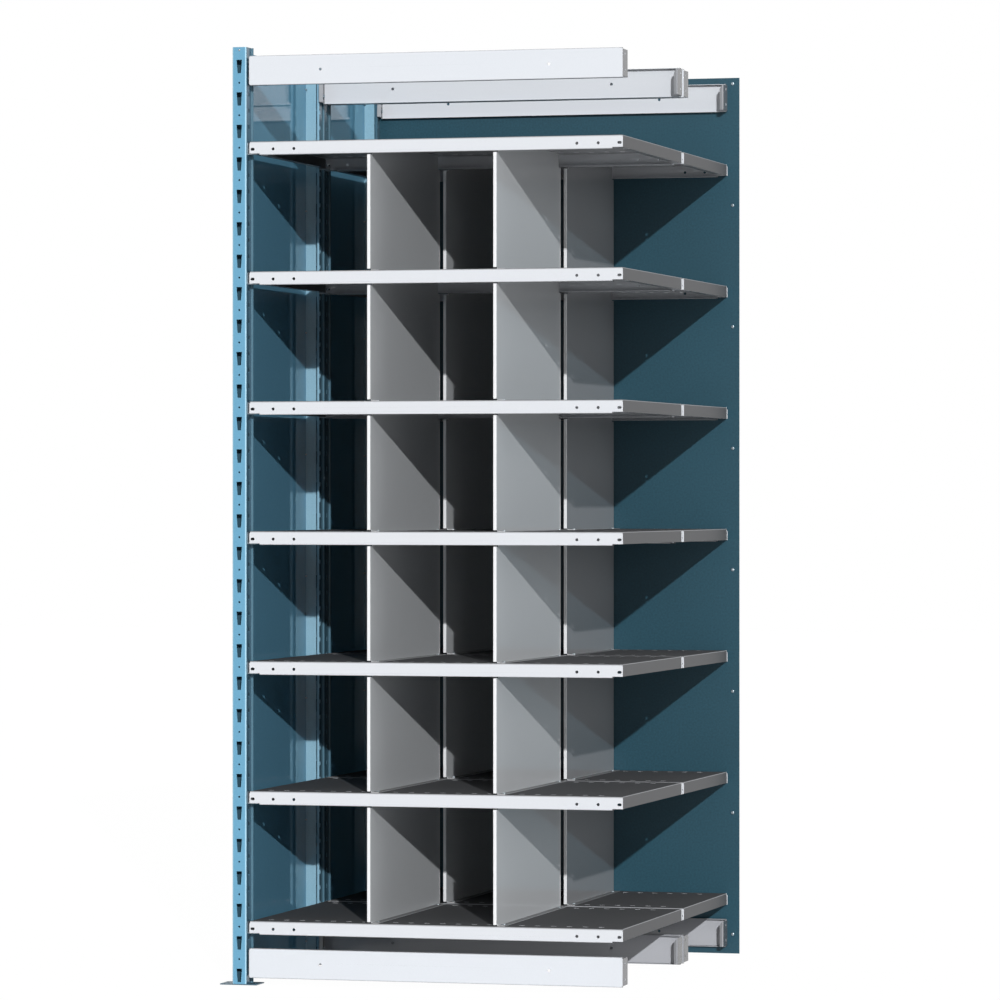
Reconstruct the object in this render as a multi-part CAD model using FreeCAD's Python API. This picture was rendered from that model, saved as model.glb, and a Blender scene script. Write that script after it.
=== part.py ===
import FreeCAD, Part
import math
import os

os.makedirs("parts", exist_ok=True)

# ---------------------------------------------------------------------------
# Driving dimensions, millimetres.
# Working frame while building: X = 0 at the left end of the shelves, Y = 0 at
# the front face of the front unit, Z = 0 on the floor.  At the end everything
# is shifted so that the origin is the bottom centre of the whole bookcase.
# ---------------------------------------------------------------------------

# Overall layout
shelf_width = 902.0            # length of a shelf, left to right
front_unit_depth = 603.0       # front unit, face to face of its flanges
rear_unit_depth = 484.0        # rear unit, face to face of its flanges
unit_gap = 18.0                # air gap between the two back-to-back units

# Levels
shelf_levels = 7               # shelves in each unit
lowest_shelf_top = 151.0       # top of the bottom shelf above the floor
top_space = 222.0              # least height from the top shelf to the posts' top

# Shelves: folded steel pans
shelf_sheet = 1.2              # sheet thickness
shelf_bend = 3.6               # inside radius of the front and rear top edges
shelf_flange = 31.75           # height of the front and rear flanges
shelf_lip = 20.0               # inward return under the front and rear flanges
shelf_lip_bend = 1.0           # inside radius of the small folds
side_flange_inset = 1.5        # side flanges stand in from the flange ends
side_flange_lip = 18.0         # inward return under the side flanges
side_lip_start = 80.0          # side returns begin this far from the corners
end_notch_height = 3.5         # step in the lower corners of the long flanges
end_notch_length = 25.0
corner_gap = 1.0               # relief between side folds and long flanges
slot_pitch = 38.1              # oblong slots along the shelf top
slot_length = 14.0
slot_width = 5.0
slot_row_inset = 45.0          # slot rows from the front and rear edges
slot_end_margin = 25.0         # least distance of a slot from the pan's side
flange_slot_inset = 8.0        # oblong hole near each flange end
flange_slot_length = 10.0
flange_slot_height = 6.4
flange_hole_inset = 58.5       # two round holes further in
flange_hole_step = 50.8
flange_hole_diameter = 7.0

# Posts: lipped channels, one at each corner of the left side
post_height = 2202.0           # top of the posts above the floor
post_width = 35.0
post_depth = 40.0
post_sheet = 2.0
post_bend = 2.0                # inside radius of the channel's folds
post_lip = 5.0                 # outward lip on the wall that faces the shelves
post_to_shelf = 7.5            # clearance between post wall and shelf end
web_slot_pitch = 76.2          # keyhole-like tapered slots down the face
web_slot_top_drop = 30.0       # top of the first slot below the post's top
web_slot_height = 31.5
web_slot_top_width = 13.5
web_slot_bottom_width = 8.0
web_hole_diameter = 4.6        # small hole halfway between the tapered slots
wall_hole_pitch = 38.1         # holes down the wall that faces the shelves
wall_hole_height = 12.0
wall_hole_width = 8.0
wall_hole_centre = 19.0        # from the post's face
wall_hole_drop = 2.5           # hole centre below each shelf top
post_end_margin = 4.0          # least metal left at the post's ends

# Foot plates under the posts
foot_length = 90.0
foot_depth = 60.0
foot_plate = 2.5
foot_overhang = 30.0           # past the post's outer wall
anchor_hole_diameter = 9.0
anchor_edge = 10.0             # hole centre from the plate's ends

# Side and back panels
side_sheet = 0.8
side_panel_lap = 11.0          # how far the side panel laps inside the post
side_panel_return = 27.0       # folded edges across the posts' open sides
panel_clear_of_foot = 1.0
panel_top_drop = 5.0           # panels end just below the posts' tops
back_sheet = 0.9
back_panel_overhang = 30.5     # past the right ends of the shelves
back_edge_margin = 17.5        # right-hand bolts from the panel's edge
back_bolt_rows = 8
back_bolt_first = 48.3         # lowest row of back panel bolts
back_bolt_drop = 20.1          # top row below the posts' top

# Header and base strips: shallow channels with deep folded ends
strip_height = 69.5
strip_sheet = 1.2
strip_flange = 14.0            # depth of the two long flanges
strip_end_depth = 50.0         # depth of the end flanges
strip_bend = 1.2               # inside radius of the folds
strip_left_reach = 2.0         # strip starts this far left of the shelf end
strip_end_gap = 2.0            # between end flanges and long flanges
strip_end_lip = 12.0           # inward lip of the end flanges
strip_lip_slant = 30.0         # degrees the end lips lean back into the strip
strip_lip_cut = 14.0           # height of the slanting cut at the lips' tops
header_drop = 56.0             # header strips' middle below the posts' top
base_centre = 52.0             # height of the base strips' middle
strip_hole_diameter = 7.5      # end flange holes
web_mark_diameter = 7.0        # small holes in the strip's face
web_mark_inset = 176.0

# Dividers
dividers_per_shelf = 2
divider_sheet = 1.0
divider_first = 295.2          # right face of the first divider's sheet
divider_slots = 8              # the next divider stands this many slots on
rear_divider_offset = 9.0      # dividers of the rear unit stand further right
divider_hem = 8.0              # folded front edge
divider_foot = 18.0            # flange that lies on the shelf
divider_setback = 2.0          # front edge behind the shelf's face
divider_rear_setback = 5.0     # rear edge before the shelf's rear face
divider_top_gap = 3.0          # below the flange of the shelf above
divider_bottom_gap = 3.4       # hem starts above the shelf
divider_under_gap = 0.3        # below the sheet of the shelf above
divider_lip_gap = 2.0          # notch clearance round the shelf's lip
divider_screw_offset = 6.8     # screw line from the sheet

# Clips and fasteners
clip_sheet = 1.8
clip_width = 18.0
clip_reach = 15.0              # ledge under the shelf's side lip
clip_tab_width = 7.0
clip_tab_height = 4.0
clip_tab_length = 5.0
clip_top_gap = 2.0
screw_diameter = 3.8
screw_head_diameter = 8.0
screw_head_height = 1.8
screw_length = 7.0
bolt_diameter = 6.0
bolt_head_diameter = 11.0
bolt_head_height = 3.6
nut_height = 4.8
nut_across_flats = 10.0
back_bolt_diameter = 4.4
back_bolt_head = 8.0
back_bolt_head_height = 2.2
back_nut_across_flats = 7.0
back_nut_height = 3.0
side_screw_rows = 8
side_screw_edge = 5.5          # from the panel's lapped edge
hole_clearance = 0.4           # added to a screw's diameter for its hole
tie_rows = 4
tie_sleeve_diameter = 12.0

# ---------------------------------------------------------------------------
# Values worked out from the dimensions above.
# ---------------------------------------------------------------------------
# Shelves stand a whole number of wall holes apart, as many as the posts allow.
level_room = (post_height - top_space - lowest_shelf_top) / (shelf_levels - 1)
level_pitch = int(level_room / wall_hole_pitch) * wall_hole_pitch
header_centre = post_height - header_drop
rear_unit_front = front_unit_depth + unit_gap
total_depth = rear_unit_front + rear_unit_depth
post_right = -post_to_shelf
post_left = post_right - post_width
post_centre = (post_left + post_right) / 2.0
foot_left = post_left - foot_overhang
panel_left = post_left
panel_right = shelf_width + back_panel_overhang
panel_back = total_depth + back_sheet
panel_top = post_height - panel_top_drop
bolt_reach = 1.0               # bolt end past its nut
x_shift = -(foot_left + panel_right) / 2.0
back_fastener_depth = panel_back + back_nut_height + bolt_reach
y_shift = -back_fastener_depth / 2.0
shelf_tops = [lowest_shelf_top + i * level_pitch for i in range(shelf_levels)]
shelf_tops.reverse()
pan_left = side_flange_inset
pan_right = shelf_width - side_flange_inset
divider_pitch = divider_slots * slot_pitch
first_slot = divider_first + divider_screw_offset + rear_divider_offset / 2.0
units = {
    "front": (0.0, front_unit_depth),
    "rear": (rear_unit_front, rear_unit_depth),
}


# ---------------------------------------------------------------------------
# Shape helpers.
# ---------------------------------------------------------------------------
def box(x0, x1, y0, y1, z0, z1):
    """Box between two corners."""
    corner = FreeCAD.Vector(min(x0, x1), min(y0, y1), min(z0, z1))
    return Part.makeBox(abs(x1 - x0), abs(y1 - y0), abs(z1 - z0), corner)


def rod(diameter, length, start, direction):
    """Round bar from a point along a direction."""
    return Part.makeCylinder(diameter / 2.0, length, FreeCAD.Vector(*start), FreeCAD.Vector(*direction))


def hexagon(across_flats, length, start, direction):
    """Six-sided nut blank from a point along a direction."""
    axis = FreeCAD.Vector(*direction)
    side = FreeCAD.Vector(0, 0, 1)
    if abs(axis.z) > 0.5:
        side = FreeCAD.Vector(1, 0, 0)
    other = axis.cross(side)
    radius = across_flats / math.sqrt(3.0)
    corners = []
    for k in range(7):
        turn = math.radians(60 * (k % 6))
        corners.append(FreeCAD.Vector(*start) + side * (radius * math.cos(turn)) + other * (radius * math.sin(turn)))
    return Part.Face(Part.makePolygon(corners)).extrude(axis * length)


def folded(path, sheet, inside_radius, to_space):
    """Face of a sheet bent along a path; the sheet lies to the left of the path."""
    def unit(a, b):
        length = math.hypot(b[0] - a[0], b[1] - a[1])
        return ((b[0] - a[0]) / length, (b[1] - a[1]) / length)

    def moved(point, direction, distance):
        return (point[0] + direction[0] * distance, point[1] + direction[1] * distance)

    runs = [unit(path[k], path[k + 1]) for k in range(len(path) - 1)]
    normals = [(-d[1], d[0]) for d in runs]
    near = [(path[0],)]
    far = [(moved(path[0], normals[0], sheet),)]
    for k in range(1, len(path) - 1):
        cross = runs[k - 1][0] * runs[k][1] - runs[k - 1][1] * runs[k][0]
        dot = runs[k - 1][0] * runs[k][0] + runs[k - 1][1] * runs[k][1]
        side = 1.0 if cross > 0 else -1.0
        turn = math.atan2(abs(cross), dot)
        near_radius = inside_radius + (sheet if side > 0 else 0.0)
        far_radius = inside_radius + (0.0 if side > 0 else sheet)
        reach = near_radius * math.tan(turn / 2.0)
        a1 = moved(path[k], runs[k - 1], -reach)
        a2 = moved(path[k], runs[k], reach)
        centre = moved(a1, normals[k - 1], side * near_radius)
        out = unit(centre, path[k])
        near.append((a1, moved(centre, out, near_radius), a2))
        b1 = moved(a1, normals[k - 1], sheet)
        b2 = moved(a2, normals[k], sheet)
        far.append((b1, moved(centre, out, far_radius), b2))
    near.append((path[-1],))
    far.append((moved(path[-1], normals[-1], sheet),))

    edges = []

    def side_edges(stations):
        last = stations[0][0]
        for station in stations[1:]:
            edges.append(Part.makeLine(to_space(last), to_space(station[0])))
            if len(station) == 3:
                edges.append(Part.Arc(*[to_space(p) for p in station]).toShape())
            last = station[-1]

    side_edges(near)
    edges.append(Part.makeLine(to_space(near[-1][0]), to_space(far[-1][0])))
    side_edges([tuple(reversed(station)) for station in reversed(far)])
    edges.append(Part.makeLine(to_space(far[0][0]), to_space(near[0][0])))
    return Part.Face(Part.Wire(edges))


def folded_along_x(path, sheet, inside_radius, x0, x1):
    """Folded section drawn in (Y, Z), run from x0 to x1."""
    face = folded(path, sheet, inside_radius, lambda p: FreeCAD.Vector(x0, p[0], p[1]))
    return face.extrude(FreeCAD.Vector(x1 - x0, 0, 0))


def folded_along_z(path, sheet, inside_radius, z0, z1):
    """Folded section drawn in (X, Y), run from z0 to z1."""
    face = folded(path, sheet, inside_radius, lambda p: FreeCAD.Vector(p[0], p[1], z0))
    return face.extrude(FreeCAD.Vector(0, 0, z1 - z0))


def oblong_z(x, y, length, width, z0, z1):
    """Vertical cutter for a slot that runs along X."""
    half = (length - width) / 2.0
    middle = box(x - half, x + half, y - width / 2.0, y + width / 2.0, z0, z1)
    ends = [rod(width, z1 - z0, (x + s * half, y, z0), (0, 0, 1)) for s in (-1, 1)]
    return middle.fuse(ends)


def oblong_y(x, z, length, height, y0, y1):
    """Cutter along Y for a slot that runs along X."""
    half = (length - height) / 2.0
    middle = box(x - half, x + half, y0, y1, z - height / 2.0, z + height / 2.0)
    ends = [rod(height, y1 - y0, (x + s * half, y0, z), (0, 1, 0)) for s in (-1, 1)]
    return middle.fuse(ends)


def mirrored_y(shape, plane):
    """Copy of a shape mirrored front to back about Y = plane."""
    return shape.mirror(FreeCAD.Vector(0, plane, 0), FreeCAD.Vector(0, 1, 0))


def save(name, solids):
    """Write one node, shifted so that the origin is the bookcase's bottom centre."""
    shape = solids[0] if len(solids) == 1 else Part.makeCompound(solids)
    shape = shape.copy()
    shape.translate(FreeCAD.Vector(x_shift, y_shift, 0))
    shape.exportStep("parts/" + name + ".step")


# ---------------------------------------------------------------------------
# Posts.
# ---------------------------------------------------------------------------
def post():
    """Post whose face looks to the front, with its face on Y = 0."""
    path = [
        (post_left, post_depth),
        (post_left, 0.0),
        (post_right, 0.0),
        (post_right, post_depth - post_sheet),
        (post_right + post_lip, post_depth - post_sheet),
    ]
    body = folded_along_z(path, post_sheet, post_bend, foot_plate, post_height)
    cutters = []
    first_top = post_height - web_slot_top_drop
    half_pitch = web_slot_pitch / 2.0
    count = int((post_height - foot_plate) / web_slot_pitch) + 1
    for k in range(count):
        top = first_top - k * web_slot_pitch
        bottom = top - web_slot_height
        if bottom > foot_plate + post_end_margin:
            corners = [
                (post_centre - web_slot_top_width / 2.0, top),
                (post_centre + web_slot_top_width / 2.0, top),
                (post_centre + web_slot_bottom_width / 2.0, bottom),
                (post_centre - web_slot_bottom_width / 2.0, bottom),
            ]
            corners.append(corners[0])
            face = Part.Face(Part.makePolygon([FreeCAD.Vector(x, -1.0, z) for x, z in corners]))
            cutters.append(face.extrude(FreeCAD.Vector(0, post_sheet + 2.0, 0)))
        hole = (top + bottom) / 2.0 + half_pitch
        cutters.append(rod(web_hole_diameter, post_sheet + 2.0, (post_centre, -1.0, hole), (0, 1, 0)))
    inside = post_right - post_sheet - 1.0
    half = (wall_hole_height - wall_hole_width) / 2.0
    for z in wall_hole_heights():
        slot = box(inside, post_right + 1.0, wall_hole_centre - wall_hole_width / 2.0,
                   wall_hole_centre + wall_hole_width / 2.0, z - half, z + half)
        cutters.append(slot)
        for s in (-1, 1):
            start = (inside, wall_hole_centre, z + s * half)
            cutters.append(rod(wall_hole_width, post_sheet + 2.0, start, (1, 0, 0)))
    return body, cutters


def wall_hole_heights():
    """Heights of the wall holes: one just below each possible shelf top."""
    start = lowest_shelf_top - wall_hole_drop
    reach = wall_hole_height / 2.0 + post_end_margin
    below = int((start - foot_plate - reach) / wall_hole_pitch)
    above = int((post_height - reach - start) / wall_hole_pitch)
    return [start + k * wall_hole_pitch for k in range(-below, above + 1)]


def side_screw_heights():
    """Heights of the screws along each edge of a side panel."""
    low = foot_plate + panel_clear_of_foot + level_pitch / 6.0
    high = panel_top - level_pitch / 6.0
    step = (high - low) / (side_screw_rows - 1)
    return [low + k * step for k in range(side_screw_rows)]


side_screw_y = post_depth - side_panel_lap + side_screw_edge


def tie_heights():
    """Heights of the ties between the two middle posts: small web holes."""
    first = post_height - web_slot_top_drop - web_slot_height / 2.0 - web_slot_pitch / 2.0
    rows = int((first - lowest_shelf_top) / web_slot_pitch)
    step = rows // (tie_rows - 1)
    return [first - k * step * web_slot_pitch for k in range(tie_rows)]


def back_bolt_heights():
    """Heights of the bolt rows in the back panel."""
    step = (post_height - back_bolt_drop - back_bolt_first) / (back_bolt_rows - 1)
    return [back_bolt_first + k * step for k in range(back_bolt_rows)]


tie_bolt_diameter = web_hole_diameter - hole_clearance
back_post_hole = back_bolt_diameter + hole_clearance

post_body, post_cutters = post()
for height in side_screw_heights():
    start = (post_left - 1.0, side_screw_y, height)
    post_cutters.append(rod(screw_diameter + hole_clearance, post_sheet + 2.0, start, (1, 0, 0)))
plain_post = post_body.cut(post_cutters)

back_cutters = [
    rod(back_post_hole, post_sheet + 2.0, (post_centre, -1.0, height), (0, 1, 0))
    for height in back_bolt_heights()
]
rear_post = plain_post.cut(back_cutters)


def placed_post(shape, face_y, looks_forward):
    """Post set with its face at face_y, turned to look forward or back."""
    if looks_forward:
        moved = shape.copy()
    else:
        moved = mirrored_y(shape, 0.0)
    moved.translate(FreeCAD.Vector(0, face_y, 0))
    return moved


save("post_front", [placed_post(plain_post, 0.0, True)])
save("post_middle_front", [placed_post(plain_post, front_unit_depth, False)])
save("post_middle_rear", [placed_post(plain_post, rear_unit_front, True)])
save("post_rear", [placed_post(rear_post, total_depth, False)])


# ---------------------------------------------------------------------------
# Foot plates, one under each post, flush with the post's face.
# ---------------------------------------------------------------------------
def foot(face_y, into):
    """Foot plate from the post's face inwards, with an anchor hole at each end."""
    plate = box(foot_left, foot_left + foot_length, face_y, face_y + into * foot_depth, 0.0, foot_plate)
    middle = face_y + into * foot_depth / 2.0
    holes = []
    for x in (foot_left + anchor_edge, foot_left + foot_length - anchor_edge):
        holes.append(rod(anchor_hole_diameter, foot_plate + 2.0, (x, middle, -1.0), (0, 0, 1)))
    return plate.cut(holes)


post_faces = [(0.0, 1), (front_unit_depth, -1), (rear_unit_front, 1), (total_depth, -1)]
save("foot_plates", [foot(y, into) for y, into in post_faces])


# ---------------------------------------------------------------------------
# Shelves.
# ---------------------------------------------------------------------------
def slot_positions():
    """X of the slots in a shelf top, in step with the divider screws."""
    low = pan_left + slot_end_margin
    high = pan_right - slot_end_margin
    below = int((first_slot - low) / slot_pitch)
    above = int((high - first_slot) / slot_pitch)
    return [first_slot + k * slot_pitch for k in range(-below, above + 1)]


def shelf(depth):
    """Shelf with its top on Z = 0 and its front face on Y = 0."""
    low = -shelf_flange
    bend = shelf_bend + shelf_sheet
    # Top sheet with the two long edges folded down.
    top_path = [(0.0, -bend - 1.0), (0.0, 0.0), (depth, 0.0), (depth, -bend - 1.0)]
    pan = folded_along_x([(y, z) for y, z in reversed(top_path)], shelf_sheet, shelf_bend, pan_left, pan_right)
    pieces = [pan]
    for y, into in ((0.0, 1), (depth, -1)):
        # Long flange, stepped up at both lower corners, and its return lip.
        pieces.append(box(0.0, shelf_width, y, y + into * shelf_sheet, low + end_notch_height, -bend))
        lip_path = [
            (y + into * shelf_lip, low),
            (y, low),
            (y, low + end_notch_height + 1.0),
        ]
        if into > 0:
            lip_path.reverse()
        lip = folded_along_x(lip_path, shelf_sheet, shelf_lip_bend, end_notch_length, shelf_width - end_notch_length)
        pieces.append(lip)
    side_low = low + end_notch_height
    for x, into in ((pan_left, 1), (pan_right, -1)):
        # Side flange and its return lip, cut back at the corners.
        path = [
            (x + into * side_flange_lip, side_low),
            (x, side_low),
            (x, 0.0),
            (x + into * (shelf_lip_bend + shelf_sheet + 2.0), 0.0),
        ]
        for points, y0 in ((path[1:], bend + corner_gap), (path, side_lip_start)):
            if into > 0:
                points = points[::-1]
            face = folded(points, shelf_sheet, shelf_lip_bend, lambda p: FreeCAD.Vector(p[0], y0, p[1]))
            pieces.append(face.extrude(FreeCAD.Vector(0, depth - 2.0 * y0, 0)))
        # Below the top bends the side flange reaches on to the long flanges.
        near = shelf_sheet + corner_gap
        for y0, y1 in ((near, side_lip_start / 2.0), (depth - side_lip_start / 2.0, depth - near)):
            pieces.append(box(x, x + into * shelf_sheet, y0, y1, side_low, -bend))
    # The pan's square side edges give way to the side folds.
    trims = []
    for x, into in ((pan_left, 1), (pan_right, -1)):
        y0 = bend + corner_gap
        trims.append(box(x, x + into * (shelf_lip_bend + shelf_sheet), y0, depth - y0, -shelf_sheet, 0.0))
    pieces[0] = pieces[0].cut(trims)
    body = pieces[0].fuse(pieces[1:])
    cutters = []
    for x in slot_positions():
        for y in (slot_row_inset, depth - slot_row_inset):
            cutters.append(oblong_z(x, y, slot_length, slot_width, -shelf_sheet - 1.0, 1.0))
    hole_z = -(bend + shelf_flange) / 2.0
    for y in (0.0, depth):
        for x, s in ((0.0, 1), (shelf_width, -1)):
            across = (y - shelf_sheet - 1.0, y + shelf_sheet + 1.0)
            cutters.append(oblong_y(x + s * flange_slot_inset, hole_z, flange_slot_length,
                                    flange_slot_height, *across))
            for k in range(2):
                start = (x + s * (flange_hole_inset + k * flange_hole_step), across[0], hole_z)
                cutters.append(rod(flange_hole_diameter, across[1] - across[0], start, (0, 1, 0)))
    return body.cut(cutters).removeSplitter()


for unit, (front, depth) in units.items():
    blank = shelf(depth)
    for index, top in enumerate(shelf_tops):
        copy = blank.copy()
        copy.translate(FreeCAD.Vector(0, front, top))
        save("shelf_%s_%d" % (unit, index + 1), [copy])


# ---------------------------------------------------------------------------
# Shelf clips: hooked into the post wall, with a ledge under the side lip.
# ---------------------------------------------------------------------------
def clip(front, depth, top, at_front):
    """One clip at the left front or left rear corner of a shelf."""
    under = top - shelf_flange + end_notch_height
    hole_low = top - wall_hole_drop - wall_hole_height / 2.0
    near = wall_hole_centre - clip_width / 2.0
    plate = box(post_right, post_right + clip_sheet, near, near + clip_width, under - clip_sheet, top - clip_top_gap)
    ledge = box(post_right, side_flange_inset + clip_reach, near, near + clip_width, under - clip_sheet, under)
    seat = hole_low + (wall_hole_width - math.sqrt(wall_hole_width ** 2 - clip_tab_width ** 2)) / 2.0
    tab = box(post_right - clip_tab_length, post_right, wall_hole_centre - clip_tab_width / 2.0,
              wall_hole_centre + clip_tab_width / 2.0, seat, seat + clip_tab_height)
    solid = plate.fuse([ledge, tab]).removeSplitter()
    if not at_front:
        solid = mirrored_y(solid, depth / 2.0)
    solid.translate(FreeCAD.Vector(0, front, 0))
    return solid


clips = []
for front, depth in units.values():
    for top in shelf_tops:
        for at_front in (True, False):
            clips.append(clip(front, depth, top, at_front))
save("shelf_clips", clips)


# ---------------------------------------------------------------------------
# Dividers.
# ---------------------------------------------------------------------------
def divider_positions(unit):
    """X of the right faces of one unit's dividers."""
    offset = rear_divider_offset if unit == "rear" else 0.0
    return [divider_first + offset + k * divider_pitch for k in range(dividers_per_shelf)]


def divider(depth):
    """Divider with its sheet's right face on X = 0, standing on Z = 0."""
    opening = level_pitch - shelf_flange
    start = divider_setback
    end = depth - divider_rear_setback
    edge_top = opening - divider_top_gap
    full_top = level_pitch - shelf_sheet - divider_under_gap
    inner_start = shelf_lip + divider_lip_gap
    inner_end = depth - inner_start
    # Folded front edge: a narrow flat strip, then the sheet running back.
    hem_path = [(-divider_hem, start + 2.0 * divider_sheet), (-divider_hem, start), (0.0, start), (0.0, start + 12.0)]
    hem = folded_along_z(hem_path, divider_sheet, divider_sheet / 2.0, divider_bottom_gap, edge_top)
    sheet = box(-divider_sheet, 0.0, start + 11.0, end, 0.0, edge_top)
    crest = box(-divider_sheet, 0.0, inner_start, inner_end, edge_top - 1.0, full_top)
    foot_path = [(-divider_sheet, 10.0), (-divider_sheet, 0.0), (divider_foot - divider_sheet, 0.0)]
    foot_face = folded(foot_path, divider_sheet, divider_sheet / 2.0,
                       lambda p: FreeCAD.Vector(p[0], start + 12.0, p[1]))
    flange = foot_face.extrude(FreeCAD.Vector(0, end - start - 16.0, 0))
    # Square heel of the sheet gives way to the fold.
    heel = box(-divider_sheet, 0.0, start + 12.0, end - 4.0, 0.0, 8.0)
    body = sheet.cut(heel).fuse([hem, crest, flange])
    holes = []
    for y in (slot_row_inset, depth - slot_row_inset):
        place = (divider_screw_offset, y, -1.0)
        holes.append(rod(screw_diameter + hole_clearance, divider_sheet + 2.0, place, (0, 0, 1)))
    return body.cut(holes).removeSplitter()


def screw_down(x, y, z):
    """Round-headed screw that stands on z with its shank below."""
    head = rod(screw_head_diameter, screw_head_height, (x, y, z), (0, 0, 1))
    head = head.makeFillet(screw_head_height * 0.6, [head.Edges[0]])
    return head.fuse(rod(screw_diameter, screw_length, (x, y, z - screw_length), (0, 0, 1)))


divider_screws = []
for unit, (front, depth) in units.items():
    blank = divider(depth)
    for level in range(1, shelf_levels):
        top = shelf_tops[level]
        for number, x in enumerate(divider_positions(unit)):
            copy = blank.copy()
            copy.translate(FreeCAD.Vector(x, front, top))
            save("divider_%s_%d_%s" % (unit, level, "ab"[number]), [copy])
            for y in (front + slot_row_inset, front + depth - slot_row_inset):
                divider_screws.append(screw_down(x + divider_screw_offset, y, top + divider_sheet))
save("divider_screws", divider_screws)


# ---------------------------------------------------------------------------
# Header and base strips.
# ---------------------------------------------------------------------------
strip_left = -strip_left_reach


def strip():
    """Strip with its face on Y = 0 looking forward and its middle on Z = 0."""
    half = strip_height / 2.0
    slant = math.radians(strip_lip_slant)
    long_path = [(strip_flange, half), (0.0, half), (0.0, -half), (strip_flange, -half)]
    corner = strip_sheet + strip_bend
    x0 = strip_left + corner
    x1 = shelf_width - corner
    channel = folded_along_x(long_path, strip_sheet, strip_bend, x0, x1)
    end_half = half - strip_sheet - strip_end_gap
    ends = []
    for x, into in ((strip_left, 1), (shelf_width, -1)):
        lip_x = x + into * strip_end_lip * math.cos(slant)
        path = [
            (lip_x, strip_end_depth - strip_end_lip * math.sin(slant)),
            (x, strip_end_depth),
            (x, 0.0),
            (x + into * (corner + 2.0), 0.0),
        ]
        if into < 0:
            path.reverse()
        end = folded_along_z(path, strip_sheet, strip_bend, -end_half, end_half)
        # Slanting cut that takes the upper outer corner off the lip.
        cut = [
            (x + into * corner, end_half + 1.0),
            (lip_x + into * corner, end_half + 1.0),
            (lip_x + into * corner, end_half - strip_lip_cut),
        ]
        cut.append(cut[0])
        face = Part.Face(Part.makePolygon([FreeCAD.Vector(a, strip_end_depth / 2.0, b) for a, b in cut]))
        ends.append(end.cut(face.extrude(FreeCAD.Vector(0, strip_end_depth, 0))))
    return channel.fuse(ends)


def strip_hole_heights(centre):
    """Heights of the two end holes: the post wall holes nearest the strip's middle."""
    near = sorted(wall_hole_heights(), key=lambda z: abs(z - centre))
    return sorted(near[:2])


def strip_holes(centre):
    """Cutters for the end flange holes and the small holes in the face."""
    cutters = []
    for z in strip_hole_heights(centre):
        start = (strip_left - 1.0, wall_hole_centre, z - centre)
        length = shelf_width - strip_left + 2.0
        cutters.append(rod(strip_hole_diameter, length, start, (1, 0, 0)))
    for x in (strip_left + web_mark_inset, shelf_width - web_mark_inset):
        cutters.append(rod(web_mark_diameter, strip_sheet + 2.0, (x, -1.0, 0.0), (0, 1, 0)))
    return cutters


def bolt_x(start, grip):
    """Bolt along +X with its head at start and a nut past the grip; start is the head's seat."""
    x, y, z = start
    head = rod(bolt_head_diameter, bolt_head_height, (x, y, z), (-1, 0, 0))
    head = head.makeFillet(bolt_head_height * 0.5, [head.Edges[0]])
    shank = rod(bolt_diameter, grip + nut_height + bolt_reach, (x, y, z), (1, 0, 0))
    nut = hexagon(nut_across_flats, nut_height, (x + grip, y, z), (1, 0, 0))
    return head.fuse([shank, nut])


plain_strip = strip()
strip_bolts = []
for kind, centre in (("header", header_centre), ("base", base_centre)):
    drilled = plain_strip.cut(strip_holes(centre)).removeSplitter()
    for unit, (front, depth) in units.items():
        for face in ("front", "back"):
            copy = drilled.copy()
            hole_y = wall_hole_centre
            if face == "back":
                copy = mirrored_y(copy, depth / 2.0)
                hole_y = depth - wall_hole_centre
            copy.translate(FreeCAD.Vector(0, front, centre))
            save("%s_strip_%s_unit_%s" % (kind, unit, face), [copy])
            for z in strip_hole_heights(centre):
                seat = (post_right - post_sheet, front + hole_y, z)
                grip = post_sheet + post_to_shelf - strip_left_reach + strip_sheet
                strip_bolts.append(bolt_x(seat, grip))
save("strip_bolts", strip_bolts)


# ---------------------------------------------------------------------------
# Side panels, lapped inside the outer walls of the posts, with folded edges.
# ---------------------------------------------------------------------------
side_face = post_left + post_sheet
side_bottom = foot_plate + panel_clear_of_foot


def screw_in(x, y, z):
    """Round-headed screw driven from the left through the post wall and the panel."""
    head = rod(screw_head_diameter, screw_head_height, (x, y, z), (-1, 0, 0))
    head = head.makeFillet(screw_head_height * 0.6, [head.Edges[0]])
    return head.fuse(rod(screw_diameter, screw_length, (x, y, z), (1, 0, 0)))


side_screws = []
for unit, (front, depth) in units.items():
    lap = post_depth - side_panel_lap
    path = [
        (side_face + side_panel_return, front + depth - lap),
        (side_face, front + depth - lap),
        (side_face, front + lap),
        (side_face + side_panel_return, front + lap),
    ]
    panel = folded_along_z(path, side_sheet, side_sheet, side_bottom, panel_top)
    holes = []
    for y in (front + side_screw_y, front + depth - side_screw_y):
        for z in side_screw_heights():
            start = (side_face - 1.0, y, z)
            holes.append(rod(screw_diameter + hole_clearance, side_sheet + 2.0, start, (1, 0, 0)))
            side_screws.append(screw_in(post_left, y, z))
    save("side_panel_%s" % unit, [panel.cut(holes)])
save("side_panel_screws", side_screws)


# ---------------------------------------------------------------------------
# Back panel, flat against the rear posts and the rear flanges.
# ---------------------------------------------------------------------------
back = box(panel_left, panel_right, total_depth, panel_back, 0.0, panel_top)
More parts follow.
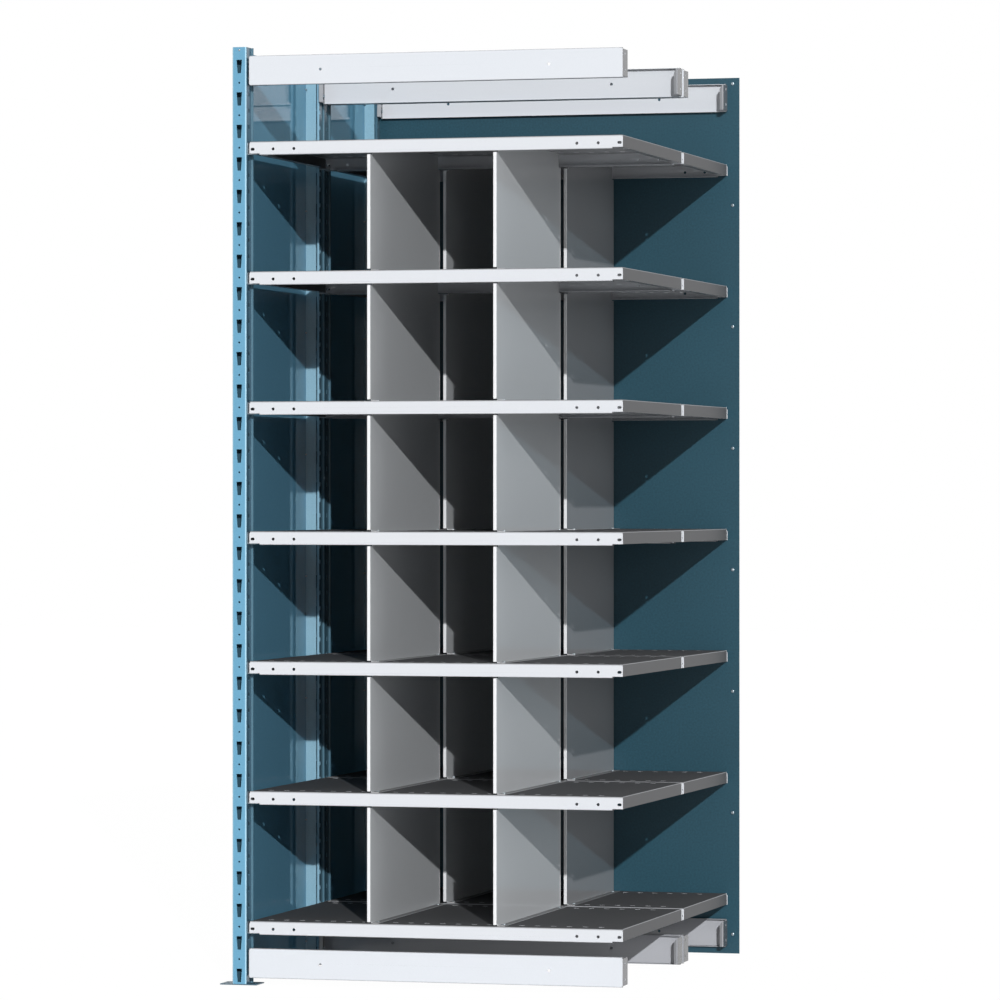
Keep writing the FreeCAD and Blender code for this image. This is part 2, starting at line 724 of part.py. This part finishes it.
# The left bolts sit inside the rear post, the right ones on the open panel.
bolt_columns = [(post_centre, total_depth - post_sheet), (panel_right - back_edge_margin, total_depth)]
holes = []
back_bolts = []
for x, seat_y in bolt_columns:
    for z in back_bolt_heights():
        holes.append(rod(back_post_hole, back_sheet + 2.0, (x, total_depth - 1.0, z), (0, 1, 0)))
        seat = (x, seat_y, z)
        head = rod(back_bolt_head, back_bolt_head_height, seat, (0, -1, 0))
        head = head.makeFillet(back_bolt_head_height * 0.6, [head.Edges[0]])
        grip = panel_back - seat_y
        shank = rod(back_bolt_diameter, grip + back_nut_height + bolt_reach, seat, (0, 1, 0))
        nut = hexagon(back_nut_across_flats, back_nut_height, (x, panel_back, z), (0, 1, 0))
        back_bolts.append(head.fuse([shank, nut]))
save("back_panel", [back.cut(holes)])
save("back_panel_bolts", back_bolts)


# ---------------------------------------------------------------------------
# Ties between the two middle posts: a bolt through a spacer sleeve.
# ---------------------------------------------------------------------------
ties = []
for z in tie_heights():
    start = (post_centre, front_unit_depth, z)
    sleeve = rod(tie_sleeve_diameter, unit_gap, start, (0, 1, 0))
    bore = rod(web_hole_diameter, unit_gap, start, (0, 1, 0))
    ties.append(sleeve.cut(bore))
    seat = (post_centre, front_unit_depth - post_sheet, z)
    head = rod(bolt_head_diameter, bolt_head_height, seat, (0, -1, 0))
    grip = unit_gap + 2.0 * post_sheet
    shank = rod(tie_bolt_diameter, grip + back_nut_height + bolt_reach, seat, (0, 1, 0))
    nut = hexagon(back_nut_across_flats, back_nut_height, (post_centre, seat[1] + grip, z), (0, 1, 0))
    ties.append(head.fuse([shank, nut]))
save("post_ties", ties)
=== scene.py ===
import math

import bmesh
import bpy
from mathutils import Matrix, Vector


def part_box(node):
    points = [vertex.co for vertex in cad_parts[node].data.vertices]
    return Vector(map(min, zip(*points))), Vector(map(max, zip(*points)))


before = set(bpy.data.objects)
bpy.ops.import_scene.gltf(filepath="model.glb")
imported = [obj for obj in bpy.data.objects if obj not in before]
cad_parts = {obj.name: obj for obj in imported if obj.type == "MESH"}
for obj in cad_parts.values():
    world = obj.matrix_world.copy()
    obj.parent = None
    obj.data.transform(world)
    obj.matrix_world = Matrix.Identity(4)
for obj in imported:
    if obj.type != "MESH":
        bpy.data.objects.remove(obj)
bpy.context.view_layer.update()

# ---------------------------------------------------------------------------
# Posts and foot plates: four lipped channels of 2 mm steel sheet, punched with
# slots and holes and folded cold, each on a small plate that takes the floor
# anchors.  All are dipped and baked in greyish blue enamel.
# ---------------------------------------------------------------------------
MM = 0.001
COAT_IOR = 1.5  # baked enamel, and the shader's own default, which zinc keeps
LEVEL_POWER = 2.0  # how soon a face that tips takes the painted light or shade of tops or undersides
SHEET_SIDE_POWER = 6.0  # how soon an upright face that turns takes the painted shade of the sides
FOLD_HIGHLIGHT_GAIN = 4.0  # brings (x * y) ** 2 of the normal up to one in the middle of an upright bend, where the painted highlight peaks
COAT_GRAIN_MM = 2.0
NOISE_DETAIL = 3.0
CLOUDS_PER_METRE = 3.0
CLOUD_SHARE = 0.35
PATTERN_LOW, PATTERN_HIGH = 0.35, 1.0  # range of the specks and their share of clouds
RELIEF_STRENGTH = 0.1
RELIEF_MM = 0.1


def linear(code):
    """Linear colour of an sRGB hex code."""
    channels = [int(code[k:k + 2], 16) / 255.0 for k in (1, 3, 5)]
    flat = [c / 12.92 if c <= 0.04045 else ((c + 0.055) / 1.055) ** 2.4 for c in channels]
    return (flat[0], flat[1], flat[2], 1.0)


def node(tree, kind, settings=None, links=None):
    """Add one node with its settings and incoming links; a node as a source means its first output."""
    made = tree.nodes.new(kind)
    for name, value in (settings or {}).items():
        if isinstance(name, int) or name in made.inputs:
            made.inputs[name].default_value = value
        else:
            setattr(made, name, value)
    for name, source in (links or {}).items():
        socket = source.outputs[0] if isinstance(source, bpy.types.Node) else source
        tree.links.new(socket, made.inputs[name])
    return made


def sheet_finish(name, tones, roughness, gloss, grain, grain_mm=COAT_GRAIN_MM,
                 side_power=SHEET_SIDE_POWER, behind=(), metallic=0.0):
    """Finish of folded steel with painted shade and light: a tone each for its face, sides, underside, top
    and upright folds, and a painted highlight along the folds.

    roughness is one number, or three for faces that look ahead, sideways and up.
    grain is how far the specks of the coat lighten and darken it, and grain_mm is their size.
    behind has pairs of a depth in metres and the tone that the faces have from there to the back.
    """
    made = bpy.data.materials.new(name)
    made.use_nodes = True
    tree = made.node_tree
    tree.nodes.clear()
    place = node(tree, "ShaderNodeTexCoord")
    facing = node(tree, "ShaderNodeSeparateXYZ", None, {"Vector": place.outputs["Normal"]})
    spot = node(tree, "ShaderNodeSeparateXYZ", None, {"Vector": place.outputs["Object"]})

    # How far the sheet looks up, down or sideways, or rounds an upright bend: the masks of the painted
    # shade and light, and of the painted highlight on bends.
    painted_light_masks = {}
    for way, sign in (("top", 1.0), ("under", -1.0)):
        tipped = node(tree, "ShaderNodeMath", {"operation": "MULTIPLY", "use_clamp": True, 1: sign},
                      {0: facing.outputs["Z"]})
        painted_light_masks[way] = node(tree, "ShaderNodeMath", {"operation": "POWER", 1: LEVEL_POWER}, {0: tipped})
    turned = node(tree, "ShaderNodeMath", {"operation": "ABSOLUTE"}, {0: facing.outputs["X"]})
    painted_light_masks["side"] = node(tree, "ShaderNodeMath", {"operation": "POWER", 1: side_power}, {0: turned})
    corner = node(tree, "ShaderNodeMath", {"operation": "MULTIPLY"},
                  {0: facing.outputs["X"], 1: facing.outputs["Y"]})
    square = node(tree, "ShaderNodeMath", {"operation": "MULTIPLY"}, {0: corner, 1: corner})
    painted_light_masks["fold"] = node(tree, "ShaderNodeMath", {"operation": "MULTIPLY", 1: FOLD_HIGHLIGHT_GAIN}, {0: square})

    # The tones, each laid over the ones before it: painted shade and light by the way each face looks.
    layers = [(tones["fold"], painted_light_masks["fold"])]
    for start, tone in behind:
        past = node(tree, "ShaderNodeMath", {"operation": "GREATER_THAN", 1: start},
                    {0: spot.outputs["Y"]})
        layers.append((tone, past))
    layers += [(tones[way], painted_light_masks[way]) for way in ("side", "under", "top")]
    below = {}
    for tone, weight in layers:
        laid = node(tree, "ShaderNodeMix",
                    {"data_type": "RGBA", 6: linear(tones["face"]), 7: linear(tone)},
                    {"Factor": weight, **below})
        below = {6: laid.outputs[2]}

    # Fine specks with a slight cloudiness; the specks are raised a little too.
    specks = node(tree, "ShaderNodeTexNoise", {"Scale": 1.0 / (grain_mm * MM), "Detail": NOISE_DETAIL},
                  {"Vector": place.outputs["Object"]})
    clouds = node(tree, "ShaderNodeTexNoise", {"Scale": CLOUDS_PER_METRE, "Detail": NOISE_DETAIL},
                  {"Vector": place.outputs["Object"]})
    pattern = node(tree, "ShaderNodeMath", {"operation": "MULTIPLY_ADD", 1: CLOUD_SHARE},
                   {0: clouds.outputs["Fac"], 2: specks.outputs["Fac"]})
    shade = node(tree, "ShaderNodeMapRange",
                 {"From Min": PATTERN_LOW, "From Max": PATTERN_HIGH,
                  "To Min": 1.0 - grain, "To Max": 1.0 + grain},
                 {"Value": pattern})
    tinted = node(tree, "ShaderNodeMix", {"data_type": "RGBA", "blend_type": "MULTIPLY", 0: 1.0},
                  {**below, 7: shade})
    relief = node(tree, "ShaderNodeBump", {"Strength": RELIEF_STRENGTH, "Distance": RELIEF_MM * MM},
                  {"Height": specks.outputs["Fac"]})
    shader = node(tree, "ShaderNodeBsdfPrincipled",
                  {"IOR": COAT_IOR, "Specular IOR Level": gloss, "Metallic": metallic},
                  {"Base Color": tinted.outputs[2], "Normal": relief})
    if isinstance(roughness, tuple):
        ahead, sideways, up = roughness
        upright = node(tree, "ShaderNodeMapRange", {"To Min": ahead, "To Max": sideways},
                       {"Value": painted_light_masks["side"]})
        rough = node(tree, "ShaderNodeMix", {"data_type": "FLOAT", 3: up},
                     {"Factor": painted_light_masks["top"], 2: upright})
        tree.links.new(rough.outputs[0], shader.inputs["Roughness"])
    else:
        shader.inputs["Roughness"].default_value = roughness
    node(tree, "ShaderNodeOutputMaterial", None, {"Surface": shader})
    return made


def coat(material, prefixes):
    """Give a finish to every node whose name starts with one of the prefixes."""
    for name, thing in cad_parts.items():
        if name.startswith(prefixes):
            thing.data.materials.clear()
            thing.data.materials.append(material)


# Baked semi-gloss enamel with a soft sheen on the flat faces.  Its grain is finer
# than a millimetre, and is drawn as two so that it shows.  The walls and undersides
# are painted darker as shade, and each bend carries a painted highlight.  The far
# ends of the wall's holes and the lip faces are painted dark as shade.
BLUE_GRAIN = 0.06
HOLE_MIDDLE_MM = 20.0  # middle of the wall's holes, behind the post's face
LIP_FRONT_MM = 37.0  # just before the lip faces, behind the post's face, where their painted shade starts
POST_ROUGHNESS = (0.35, 0.20, 0.40)
post_tones = dict(face="#6ba6c5", side="#4b7085", under="#4c6d80", top="#6ba6c5", fold="#c0ebfe")
post_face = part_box("post_front")[0][1]
# The far ends of the wall's holes are painted near black and the lip faces darker: painted shade inside the
# channel.
hole_end_shade = (post_face + HOLE_MIDDLE_MM * MM, "#1d2b33")
lip_shade = (post_face + LIP_FRONT_MM * MM, "#567c8e")
coat(sheet_finish("front_post_enamel", post_tones, POST_ROUGHNESS, gloss=0.4, grain=BLUE_GRAIN,
                  behind=(hole_end_shade, lip_shade)),
     ("post_front",))

# The plates on the floor are painted darker as shade, with no painted highlight along their bends.
shaded_foot_tones = dict(post_tones, face="#4a6675", top="#4f6d7c", fold="#4a6675")
coat(sheet_finish("foot_plate_shaded_enamel", shaded_foot_tones, POST_ROUGHNESS, gloss=0.4, grain=BLUE_GRAIN),
     ("foot_plates",))

# The first middle post is smoother, and its faces are painted paler as painted light.
# The two posts behind it are painted darker, as shade.
inner_painted_light_tones = dict(face="#91bdd3", side="#506f7f", under="#4c6d80", top="#76a9c7", fold="#a3cce1")
coat(sheet_finish("inner_post_painted_light", inner_painted_light_tones, (0.20, 0.10, 0.40), gloss=0.5, grain=BLUE_GRAIN),
     ("post_middle_front",))
shaded_post_tones = dict(face="#496a7a", side="#3c5c6c", under="#3c5c6c", top="#496a7a", fold="#62899d")
coat(sheet_finish("shaded_post_enamel", shaded_post_tones, (0.20, 0.20, 0.40), gloss=0.4, grain=BLUE_GRAIN),
     ("post_middle_rear", "post_rear"))


# ---------------------------------------------------------------------------
# Side panels: two sheets of 0.8 mm steel, one to a unit, in blue enamel.  Each
# is lapped and screwed inside the outer walls of its two posts, and its edges
# are folded across their open sides.
# ---------------------------------------------------------------------------
def middle_depth(name):
    """How far back the middle of a node lies, in metres."""
    low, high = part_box(name)
    return (low[1] + high[1]) / 2.0


# A full, smooth coat of baked enamel: at a low angle it mirrors the white strips
# and the room.  The folded edge at the far side is painted paler, as painted light,
# and the folded edge at the front is painted darker.
side_tones = dict(face="#3c5c6c", side="#6094af", under="#6094af", top="#6094af", fold="#6094af")
for name in ("side_panel_front", "side_panel_rear"):
    far_edge_light = (middle_depth(name), "#93bccf")
    coat(sheet_finish(name + "_enamel", side_tones, (0.10, 0.05, 0.10), gloss=0.75, grain=0.08,
                      grain_mm=3.0, behind=(far_edge_light,)),
         (name,))

# ---------------------------------------------------------------------------
# Back panel: one flat sheet of 0.9 mm steel behind the rear unit and past its
# right end.  One column of bolts holds it to the rear post, and another waits
# at its right edge for the post of the next bay.
# ---------------------------------------------------------------------------
# Baked enamel in a deeper blue, duller than on the side panels, with a soft
# speckle that is drawn wide so that it shows.
back_tones = dict.fromkeys(post_tones, "#274d5c")
coat(sheet_finish("back_panel_enamel", back_tones, 0.35, gloss=0.35, grain=0.22, grain_mm=5.0),
     ("back_panel",))

# ---------------------------------------------------------------------------
# Header and base strips: eight shallow channels of 1.2 mm sheet with deep
# folded ends, in light grey enamel.  Each is bolted to a post at its left end.
# ---------------------------------------------------------------------------
STRIP_ROUGHNESS = (0.10, 0.20, 0.45)
STRIP_SIDE_POWER = 2.0
GREY_GRAIN = 0.02


def strip_finish(name, tones, behind=()):
    """Baked semi-gloss enamel: an even light web, with painted shade on the flanges and ends."""
    return sheet_finish(name, tones, STRIP_ROUGHNESS, gloss=0.4, grain=GREY_GRAIN,
                        side_power=STRIP_SIDE_POWER, behind=behind)


# The ends and flanges are painted a darker grey as shade.
strip_tones = dict(face="#e0e4ea", side="#65666a", under="#929499", top="#86888c", fold="#e0e4ea")
coat(strip_finish("strip_enamel", strip_tones), ("header_strip_", "base_strip_"))

# The inner base strips, deep under the shelves, are painted a darker grey as shade.
shaded_strip_tones = dict(strip_tones, face="#abadb2", side="#5b5c5f", fold="#abadb2")
coat(strip_finish("shaded_strip_enamel", shaded_strip_tones), ("base_strip_rear_unit_front",))

# These four show their inside, where the lip of each end is painted greyer than the web, as shade.
shaded_lip_tones = dict(strip_tones, face="#a7aaaf", fold="#b4b7bc")
for name, tones, web_tone in (("header_strip_front_unit_back", shaded_lip_tones, "#dbdfe5"),
                              ("header_strip_rear_unit_back", shaded_lip_tones, "#dbdfe5"),
                              ("base_strip_front_unit_back", shaded_strip_tones, "#b6b8be"),
                              ("base_strip_rear_unit_back", shaded_strip_tones, "#b6b8be")):
    web = (middle_depth(name), web_tone)
    coat(strip_finish(name + "_enamel", tones, behind=(web,)), (name,))

# ---------------------------------------------------------------------------
# Shelves: fourteen pans folded from 1.2 mm sheet, slotted along both long
# edges, in light grey enamel.  Clips carry their left ends on the posts.
# ---------------------------------------------------------------------------
# A thin, nearly matt coat: a clean light band along the front flange, with the
# tops, ends and undersides painted darker as shade.
shelf_tones = dict(face="#dfe2e7", side="#626365", under="#b5b7ba", top="#58595b", fold="#dfe2e7")
coat(sheet_finish("shelf_enamel", shelf_tones, (0.10, 0.45, 0.90), gloss=0.05, grain=GREY_GRAIN),
     ("shelf_front_", "shelf_rear_"))

# ---------------------------------------------------------------------------
# Dividers: twenty-four upright sheets of 1 mm steel in grey enamel, with a
# folded front edge and a foot that is screwed into the slots of the shelf.
# ---------------------------------------------------------------------------
# A smooth semi-gloss coat: the flat sides take clear shadows and faint mirror
# images.  The front edge and its bend are painted whiter than the sides as painted
# light, and the top edges are painted darker as shade.
DIVIDER_ROUGHNESS = (0.05, 0.05, 0.45)
DIVIDER_GRAIN = 0.03
divider_tones = dict(face="#f0f1f3", side="#cccfd2", under="#d9dbde", top="#6e6f71", fold="#f0f1f3")
coat(sheet_finish("divider_enamel", divider_tones, DIVIDER_ROUGHNESS, gloss=0.5, grain=DIVIDER_GRAIN),
     ("divider_front_", "divider_rear_"))

# The right-hand dividers of the rear unit have their sides painted greyer, as shade.
rear_shade_tones = dict(divider_tones, side="#95979a")
rear_right = tuple(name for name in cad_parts
                   if name.startswith("divider_rear_") and name.endswith("_b"))
coat(sheet_finish("rear_divider_shaded_enamel", rear_shade_tones, DIVIDER_ROUGHNESS, gloss=0.5, grain=DIVIDER_GRAIN),
     rear_right)

# ---------------------------------------------------------------------------
# Fasteners and clips: headed and pressed steel, zinc plated.  They fix the
# dividers, panels and strips, tie the middle posts and carry the shelves.
# ---------------------------------------------------------------------------
# Bluish, fairly dull metal, which shows as small light dots on the enamel.  Its tops
# and bends are painted lighter as painted highlights, and its sides and undersides
# are painted darker as shade.
zinc_tones = dict(face="#a0acb4", side="#8c99a0", under="#8c99a0", top="#c0cad1", fold="#dee7ec")
coat(sheet_finish("zinc_plate", zinc_tones, 0.35, gloss=0.5, grain=0.05, grain_mm=1.0, metallic=1.0),
     ("shelf_clips", "divider_screws", "side_panel_screws", "back_panel_bolts", "strip_bolts", "post_ties"))

# ---------------------------------------------------------------------------
# Studio: a white floor and white surroundings, one hard key lamp from the front
# right, a wide soft lamp from the right and a faint bounce without shadows.
# ---------------------------------------------------------------------------
scene = bpy.context.scene
scene.view_settings.view_transform = "Standard"
WHITE = linear("#ffffff")


def seen_directly(tree):
    """One where the eye or a polished face looks, else zero."""
    path = node(tree, "ShaderNodeLightPath")
    return node(tree, "ShaderNodeMath", {"operation": "MAXIMUM"},
                {0: path.outputs["Is Camera Ray"], 1: path.outputs["Is Glossy Ray"]})


# The surroundings look white, but light the steel only with a low, even fill.
WORLD_FILL = 0.35
world = bpy.data.worlds.new("studio")
scene.world = world
world.use_nodes = True
world_tree = world.node_tree
world_tree.nodes.clear()
strength = node(world_tree, "ShaderNodeMapRange", {"To Min": WORLD_FILL, "To Max": 1.0},
                {"Value": seen_directly(world_tree)})
backing = node(world_tree, "ShaderNodeBackground", {"Color": WHITE}, {"Strength": strength})
node(world_tree, "ShaderNodeOutputWorld", None, {"Surface": backing})

# Each lamp has the way its light travels, its strength, its width in degrees and
# whether it casts shadows.
HARD_WIDTH = 0.6
SOFT_WIDTH = 40.0
for name, travel, power, width, casts in (("key", (-0.42, 1.0, -0.32), 2.4, HARD_WIDTH, True),
                                          ("bounce", (-1.0, 0.35, -0.05), 0.04, HARD_WIDTH, False),
                                          ("side", (-1.0, 0.15, -0.1), 0.45, SOFT_WIDTH, True)):
    lamp_data = bpy.data.lights.new(name, "SUN")
    lamp_data.energy = power
    lamp_data.angle = math.radians(width)
    lamp_data.use_shadow = casts
    lamp = bpy.data.objects.new(name, lamp_data)
    lamp.rotation_euler = Vector(travel).to_track_quat("-Z", "Y").to_euler()
    scene.collection.objects.link(lamp)

# The floor is a large pale matt sheet.  The eye sees it almost pure white, with
# only a trace of the contact shadow.
FLOOR_SIZE = 60.0
FLOOR_WHITE = 0.97
FLOOR_GLOW = 1.02
floor_mesh = bpy.data.meshes.new("floor")
floor_bm = bmesh.new()
bmesh.ops.create_grid(floor_bm, x_segments=1, y_segments=1, size=FLOOR_SIZE / 2.0)
floor_bm.to_mesh(floor_mesh)
floor_bm.free()
floor = bpy.data.objects.new("floor", floor_mesh)
scene.collection.objects.link(floor)
floor_material = bpy.data.materials.new("studio_floor")
floor_material.use_nodes = True
floor_tree = floor_material.node_tree
floor_tree.nodes.clear()
matt = node(floor_tree, "ShaderNodeBsdfDiffuse", {"Color": linear("#e1e1e1")})
glow = node(floor_tree, "ShaderNodeEmission", {"Color": WHITE, "Strength": FLOOR_GLOW})
share = node(floor_tree, "ShaderNodeMath", {"operation": "MULTIPLY", 1: FLOOR_WHITE},
             {0: seen_directly(floor_tree)})
both = node(floor_tree, "ShaderNodeMixShader", None, {0: share, 1: matt, 2: glow})
node(floor_tree, "ShaderNodeOutputMaterial", None, {"Surface": both})
floor_mesh.materials.append(floor_material)

# ---------------------------------------------------------------------------
# Camera: a long, level lens at chest height, turned fifteen degrees to the left,
# with the horizon a touch above the middle of a square frame.  It is placed to
# the right of and in front of the shelves' left front corner.
# ---------------------------------------------------------------------------
EYE_RIGHT = 3.6787
EYE_IN_FRONT = 11.3485
EYE_HEIGHT = 1.1500
TURN = 15.135
FRAME_PIXELS = 1000.0
FOCAL_PIXELS = 5078.3
HORIZON_PIXEL = 495.17
SENSOR_MM = 36.0
FARTHEST_SEEN = 100.0
shelf_corner = Vector(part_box("shelf_front_1")[0])
camera_data = bpy.data.cameras.new("camera")
camera = bpy.data.objects.new("camera", camera_data)
scene.collection.objects.link(camera)
camera.location = (shelf_corner.x + EYE_RIGHT, shelf_corner.y - EYE_IN_FRONT, EYE_HEIGHT)
camera.rotation_euler = (math.radians(90.0), 0.0, math.radians(TURN))
camera_data.sensor_width = SENSOR_MM
camera_data.lens = FOCAL_PIXELS / FRAME_PIXELS * SENSOR_MM
camera_data.shift_y = (HORIZON_PIXEL - FRAME_PIXELS / 2.0) / FRAME_PIXELS
camera_data.clip_end = FARTHEST_SEEN
scene.camera = camera
